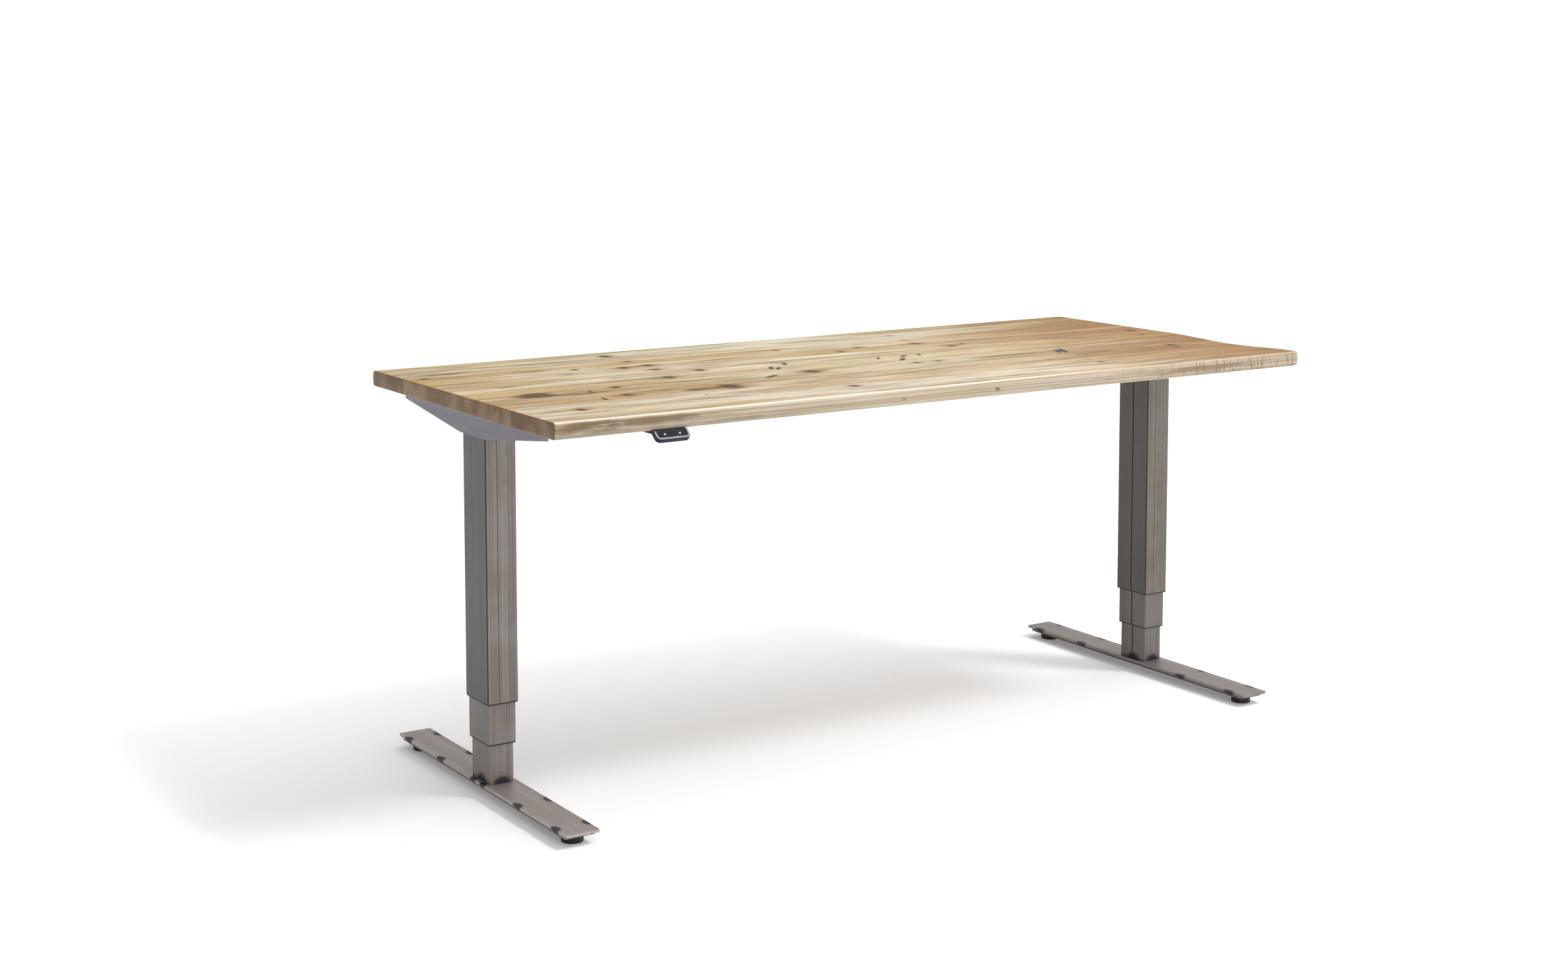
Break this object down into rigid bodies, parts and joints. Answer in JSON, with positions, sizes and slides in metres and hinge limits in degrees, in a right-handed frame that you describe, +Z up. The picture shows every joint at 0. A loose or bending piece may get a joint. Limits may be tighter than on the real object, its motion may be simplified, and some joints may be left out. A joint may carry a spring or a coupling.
{
  "type": "height adjustable standing desk",
  "caption": "Standing desk with a board desktop of reclaimed pine, telescoping bare steel columns on flat feet, motors inside and a small handset with arrow buttons.",
  "frame": {"origin": "on the floor, below the middle of the desk's outline", "axes": "+X to the right along the desk as its user sees it, +Y to the back, +Z up; the user sits on the -Y side"},
  "size_m": [1.8, 0.8172, 0.78],
  "materials": {
    "foot_steel": "bare steel under clear lacquer",
    "column_steel": "drawn bare steel under clear lacquer",
    "bracket_steel": "bare steel sheet under clear lacquer",
    "glide_plastic": "smooth black",
    "nut_block": "dark grey",
    "pad_plastic": "matt black",
    "zinc_steel": "zinc plated",
    "screw_steel": "rolled and greased",
    "housing_metal": "cast, grey",
    "motor_paint": "satin black",
    "brass": "machined",
    "box_plastic": "fine textured black",
    "handset_plastic": "satin black",
    "bezel_plastic": "satin grey",
    "button_plastic": "soft matt near-black",
    "pine_1": "clear varnished reclaimed pine",
    "pine_2": "clear varnished reclaimed pine",
    "pine_3": "clear varnished reclaimed pine",
    "pine_4": "clear varnished reclaimed pine",
    "pine_5": "clear varnished reclaimed pine",
    "pine_6": "clear varnished reclaimed pine",
    "pine_7": "clear varnished reclaimed pine"
  },
  "bodies": {
    "base": {"foot_nuts": "zinc_steel", "left_foot_plate": "foot_steel", "left_foot_channel": "foot_steel", "left_inner_tube": "column_steel", "left_inner_collar": "glide_plastic", "left_lower_nut": "nut_block", "right_foot_plate": "foot_steel", "right_foot_channel": "foot_steel", "right_inner_tube": "column_steel", "right_inner_collar": "glide_plastic", "right_lower_nut": "nut_block"},
    "left_middle": {"left_middle_tube": "column_steel", "left_middle_lower_collar": "glide_plastic", "left_middle_upper_collar": "glide_plastic", "left_upper_nut": "nut_block"},
    "left_hollow": {"left_hollow_screw": "screw_steel"},
    "left_drive": {"left_drive_screw": "screw_steel", "left_bevel_wheel": "brass"},
    "left_pinion": {"left_pinion_shaft": "screw_steel"},
    "left_front_foot": {"left_front_stud": "zinc_steel", "left_front_pad": "pad_plastic"},
    "left_back_foot": {"left_back_stud": "zinc_steel", "left_back_pad": "pad_plastic"},
    "right_middle": {"right_middle_tube": "column_steel", "right_middle_lower_collar": "glide_plastic", "right_middle_upper_collar": "glide_plastic", "right_upper_nut": "nut_block"},
    "right_hollow": {"right_hollow_screw": "screw_steel"},
    "right_drive": {"right_drive_screw": "screw_steel", "right_bevel_wheel": "brass"},
    "right_pinion": {"right_pinion_shaft": "screw_steel"},
    "right_front_foot": {"right_front_stud": "zinc_steel", "right_front_pad": "pad_plastic"},
    "right_back_foot": {"right_back_stud": "zinc_steel", "right_back_pad": "pad_plastic"},
    "top": {"left_outer_tube": "column_steel", "left_outer_collar": "glide_plastic", "left_gear_housing": "housing_metal", "left_motor": "motor_paint", "left_side_bracket": "bracket_steel", "right_outer_tube": "column_steel", "right_outer_collar": "glide_plastic", "right_gear_housing": "housing_metal", "right_motor": "motor_paint", "right_side_bracket": "bracket_steel", "front_rail": "bracket_steel", "back_rail": "bracket_steel", "control_box": "box_plastic", "handset_body": "handset_plastic", "handset_bezel": "bezel_plastic", "frame_screws": "zinc_steel", "plank_1": "pine_1", "plank_2": "pine_2", "plank_3": "pine_3", "plank_4": "pine_4", "plank_5": "pine_5", "plank_6": "pine_6", "plank_7": "pine_7"},
    "up_key": {"up_button": "button_plastic"},
    "down_key": {"down_button": "button_plastic"}
  },
  "joints": [
    {"name": "lift", "type": "slide", "parent": "base", "child": "top", "axis": [0, 0, 1], "range_m": [-0.15, 0.5]},
    {"name": "left_middle_slide", "type": "slide", "parent": "base", "child": "left_middle", "axis": [0, 0, 1], "range_m": [-0.075, 0.25]},
    {"name": "left_hollow_turn", "type": "hinge", "parent": "left_middle", "child": "left_hollow", "pos_m": [-0.826, 0.016, 0.5], "axis": [0, 0, 1], "range_deg": [-1700, 5640]},
    {"name": "left_drive_turn", "type": "hinge", "parent": "top", "child": "left_drive", "pos_m": [-0.826, 0.016, 0.6], "axis": [0, 0, 1], "range_deg": [-1700, 5640]},
    {"name": "left_pinion_turn", "type": "hinge", "parent": "top", "child": "left_pinion", "pos_m": [-0.826, 0.066, 0.726], "axis": [0, 1, 0], "range_deg": [-3400, 11280]},
    {"name": "right_middle_slide", "type": "slide", "parent": "base", "child": "right_middle", "axis": [0, 0, 1], "range_m": [-0.075, 0.25]},
    {"name": "right_hollow_turn", "type": "hinge", "parent": "right_middle", "child": "right_hollow", "pos_m": [0.826, 0.016, 0.5], "axis": [0, 0, 1], "range_deg": [-1700, 5640]},
    {"name": "right_drive_turn", "type": "hinge", "parent": "top", "child": "right_drive", "pos_m": [0.826, 0.016, 0.6], "axis": [0, 0, 1], "range_deg": [-1700, 5640]},
    {"name": "right_pinion_turn", "type": "hinge", "parent": "top", "child": "right_pinion", "pos_m": [0.826, 0.066, 0.726], "axis": [0, 1, 0], "range_deg": [-3400, 11280]},
    {"name": "up_press", "type": "slide", "parent": "top", "child": "up_key", "axis": [0, 0.6428, -0.766], "range_m": [0, 0.001], "stiffness_N_per_m": 1500, "springref_m": -0.0005},
    {"name": "down_press", "type": "slide", "parent": "top", "child": "down_key", "axis": [0, 0.6428, -0.766], "range_m": [0, 0.001], "stiffness_N_per_m": 1500, "springref_m": -0.0005},
    {"name": "left_front_level", "type": "slide", "parent": "base", "child": "left_front_foot", "axis": [0, 0, -1], "range_m": [0, 0.005]},
    {"name": "left_back_level", "type": "slide", "parent": "base", "child": "left_back_foot", "axis": [0, 0, -1], "range_m": [0, 0.005]},
    {"name": "right_front_level", "type": "slide", "parent": "base", "child": "right_front_foot", "axis": [0, 0, -1], "range_m": [0, 0.005]},
    {"name": "right_back_level", "type": "slide", "parent": "base", "child": "right_back_foot", "axis": [0, 0, -1], "range_m": [0, 0.005]}
  ],
  "couplings": [
    {"joint": "left_middle_slide", "follows": "lift", "ratio": 0.5},
    {"joint": "left_hollow_turn", "follows": "lift", "rad_per_m": 196.35},
    {"joint": "left_drive_turn", "follows": "lift", "rad_per_m": 196.35},
    {"joint": "left_pinion_turn", "follows": "lift", "rad_per_m": 392.7},
    {"joint": "right_middle_slide", "follows": "lift", "ratio": 0.5},
    {"joint": "right_hollow_turn", "follows": "lift", "rad_per_m": 196.35},
    {"joint": "right_drive_turn", "follows": "lift", "rad_per_m": 196.35},
    {"joint": "right_pinion_turn", "follows": "lift", "rad_per_m": 392.7}
  ]
}
